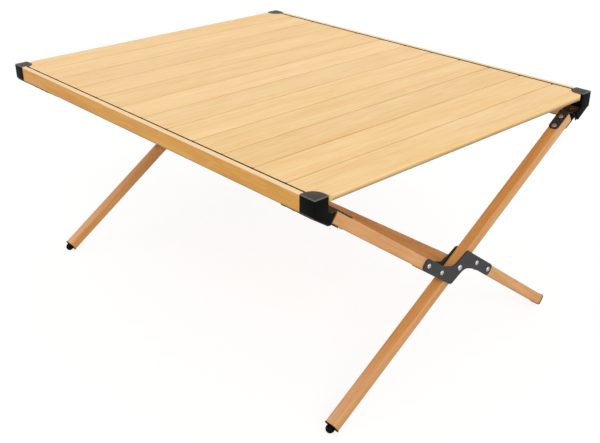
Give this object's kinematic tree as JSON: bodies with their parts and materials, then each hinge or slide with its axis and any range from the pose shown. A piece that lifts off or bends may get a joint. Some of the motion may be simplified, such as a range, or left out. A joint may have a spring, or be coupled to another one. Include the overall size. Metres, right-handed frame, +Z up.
{
  "type": "folding camp table",
  "caption": "Folding table with a roll-up top of hollow wood-look slats, carried by two rails on scissor legs with steel joint plates and a cross bar",
  "frame": {"origin": "centre of the table on the floor", "axes": "+X along the rails, across the slats; +Y along the slats; +Z up from the floor to the top"},
  "size_m": [0.881, 0.701, 0.4405],
  "materials": {
    "slat_wood_print": "pale wood-grain print",
    "rail_wood_print": "orange-brown wood-grain print",
    "leg_wood_print": "brown wood-grain print",
    "black_plastic": "fine moulded texture",
    "black_steel": "satin black paint",
    "bright_steel": "bright plated"
  },
  "bodies": {
    "leg_frame_b": {"stretcher": "leg_wood_print", "leg_b_near": "leg_wood_print", "stretcher_plug_near": "black_plastic", "foot_plug_b_near": "black_plastic", "leg_strap_b_near": "black_steel", "pivot_bolt_near": "bright_steel", "leg_b_far": "leg_wood_print", "stretcher_plug_far": "black_plastic", "foot_plug_b_far": "black_plastic", "leg_strap_b_far": "black_steel", "pivot_bolt_far": "bright_steel"},
    "leg_frame_a": {"leg_a_upper_near": "leg_wood_print", "leg_a_lower_near": "leg_wood_print", "joint_plate_inner_near": "black_steel", "joint_plate_outer_near": "black_steel", "foot_plug_a_near": "black_plastic", "leg_strap_a_near": "black_steel", "leg_a_upper_far": "leg_wood_print", "leg_a_lower_far": "leg_wood_print", "joint_plate_inner_far": "black_steel", "joint_plate_outer_far": "black_steel", "foot_plug_a_far": "black_plastic", "leg_strap_a_far": "black_steel", "plate_rivet_near_1": "bright_steel", "plate_rivet_near_2": "bright_steel", "plate_rivet_near_3": "bright_steel", "plate_rivet_near_4": "bright_steel", "plate_rivet_far_1": "bright_steel", "plate_rivet_far_2": "bright_steel", "plate_rivet_far_3": "bright_steel", "plate_rivet_far_4": "bright_steel"},
    "rail_a": {"rail_a": "rail_wood_print", "end_cap_a_near": "black_plastic", "hinge_bracket_a_near": "black_steel", "hinge_pin_a_near": "bright_steel", "end_cap_a_far": "black_plastic", "hinge_bracket_a_far": "black_steel", "hinge_pin_a_far": "bright_steel"},
    "rail_b": {"rail_b": "rail_wood_print", "end_cap_b_near": "black_plastic", "hinge_bracket_b_near": "black_steel", "hinge_pin_b_near": "bright_steel", "end_cap_b_far": "black_plastic", "hinge_bracket_b_far": "black_steel", "hinge_pin_b_far": "bright_steel"},
    "slat_01": {"slat_01": "slat_wood_print"},
    "slat_02": {"slat_02": "slat_wood_print"},
    "slat_03": {"slat_03": "slat_wood_print"},
    "slat_04": {"slat_04": "slat_wood_print"},
    "slat_05": {"slat_05": "slat_wood_print"},
    "slat_06": {"slat_06": "slat_wood_print"},
    "slat_07": {"slat_07": "slat_wood_print"},
    "slat_08": {"slat_08": "slat_wood_print"},
    "slat_09": {"slat_09": "slat_wood_print"},
    "slat_10": {"slat_10": "slat_wood_print"},
    "slat_11": {"slat_11": "slat_wood_print"},
    "slat_12": {"slat_12": "slat_wood_print"}
  },
  "joints": [
    {"name": "frame_fold", "type": "hinge", "parent": "leg_frame_b", "child": "leg_frame_a", "pos_m": [0, 0, 0.2], "axis": [-1, 0, 0], "range_deg": [0, 107]},
    {"name": "rail_a_hinge", "type": "hinge", "parent": "leg_frame_a", "child": "rail_a", "pos_m": [0, -0.319, 0.4015], "axis": [1, 0, 0], "range_deg": [0, 53.5]},
    {"name": "rail_b_hinge", "type": "hinge", "parent": "leg_frame_b", "child": "rail_b", "pos_m": [0, 0.319, 0.4015], "axis": [-1, 0, 0], "range_deg": [0, 53.5]},
    {"name": "top_lift", "type": "slide", "parent": "leg_frame_b", "child": "slat_01", "axis": [0, 0.2154, 0.9765], "range_m": [0, 1.3004]},
    {"name": "top_roll", "type": "hinge", "parent": "slat_01", "child": "slat_02", "pos_m": [-0.36667, 0, 0.439], "axis": [0, -1, 0], "range_deg": [0, 21.2]},
    {"name": "slat_hinge_03", "type": "hinge", "parent": "slat_02", "child": "slat_03", "pos_m": [-0.29333, 0, 0.439], "axis": [0, -1, 0], "range_deg": [0, 54.6]},
    {"name": "slat_hinge_04", "type": "hinge", "parent": "slat_03", "child": "slat_04", "pos_m": [-0.22, 0, 0.439], "axis": [0, -1, 0], "range_deg": [0, 54.6]},
    {"name": "slat_hinge_05", "type": "hinge", "parent": "slat_04", "child": "slat_05", "pos_m": [-0.14667, 0, 0.439], "axis": [0, -1, 0], "range_deg": [0, 54.8]},
    {"name": "slat_hinge_06", "type": "hinge", "parent": "slat_05", "child": "slat_06", "pos_m": [-0.07333, 0, 0.439], "axis": [0, -1, 0], "range_deg": [0, 55.4]},
    {"name": "slat_hinge_07", "type": "hinge", "parent": "slat_06", "child": "slat_07", "pos_m": [0, 0, 0.439], "axis": [0, -1, 0], "range_deg": [0, 59.5]},
    {"name": "slat_hinge_08", "type": "hinge", "parent": "slat_07", "child": "slat_08", "pos_m": [0.07333, 0, 0.439], "axis": [0, -1, 0], "range_deg": [0, 66.3]},
    {"name": "slat_hinge_09", "type": "hinge", "parent": "slat_08", "child": "slat_09", "pos_m": [0.14667, 0, 0.439], "axis": [0, -1, 0], "range_deg": [0, 69.3]},
    {"name": "slat_hinge_10", "type": "hinge", "parent": "slat_09", "child": "slat_10", "pos_m": [0.22, 0, 0.439], "axis": [0, -1, 0], "range_deg": [0, 71.2]},
    {"name": "slat_hinge_11", "type": "hinge", "parent": "slat_10", "child": "slat_11", "pos_m": [0.29333, 0, 0.439], "axis": [0, -1, 0], "range_deg": [0, 80.9]},
    {"name": "slat_hinge_12", "type": "hinge", "parent": "slat_11", "child": "slat_12", "pos_m": [0.36667, 0, 0.439], "axis": [0, -1, 0], "range_deg": [0, 86.3]}
  ],
  "couplings": [
    {"joint": "rail_a_hinge", "follows": "frame_fold", "ratio": 0.5},
    {"joint": "rail_b_hinge", "follows": "frame_fold", "ratio": 0.5},
    {"joint": "top_lift", "follows": "frame_fold", "m_per_rad": 0.6963},
    {"joint": "slat_hinge_03", "follows": "top_roll", "ratio": 2.5754},
    {"joint": "slat_hinge_04", "follows": "top_roll", "ratio": 2.5754},
    {"joint": "slat_hinge_05", "follows": "top_roll", "ratio": 2.5849},
    {"joint": "slat_hinge_06", "follows": "top_roll", "ratio": 2.6132},
    {"joint": "slat_hinge_07", "follows": "top_roll", "ratio": 2.8066},
    {"joint": "slat_hinge_08", "follows": "top_roll", "ratio": 3.1273},
    {"joint": "slat_hinge_09", "follows": "top_roll", "ratio": 3.2688},
    {"joint": "slat_hinge_10", "follows": "top_roll", "ratio": 3.3584},
    {"joint": "slat_hinge_11", "follows": "top_roll", "ratio": 3.816},
    {"joint": "slat_hinge_12", "follows": "top_roll", "ratio": 4.0707}
  ]
}
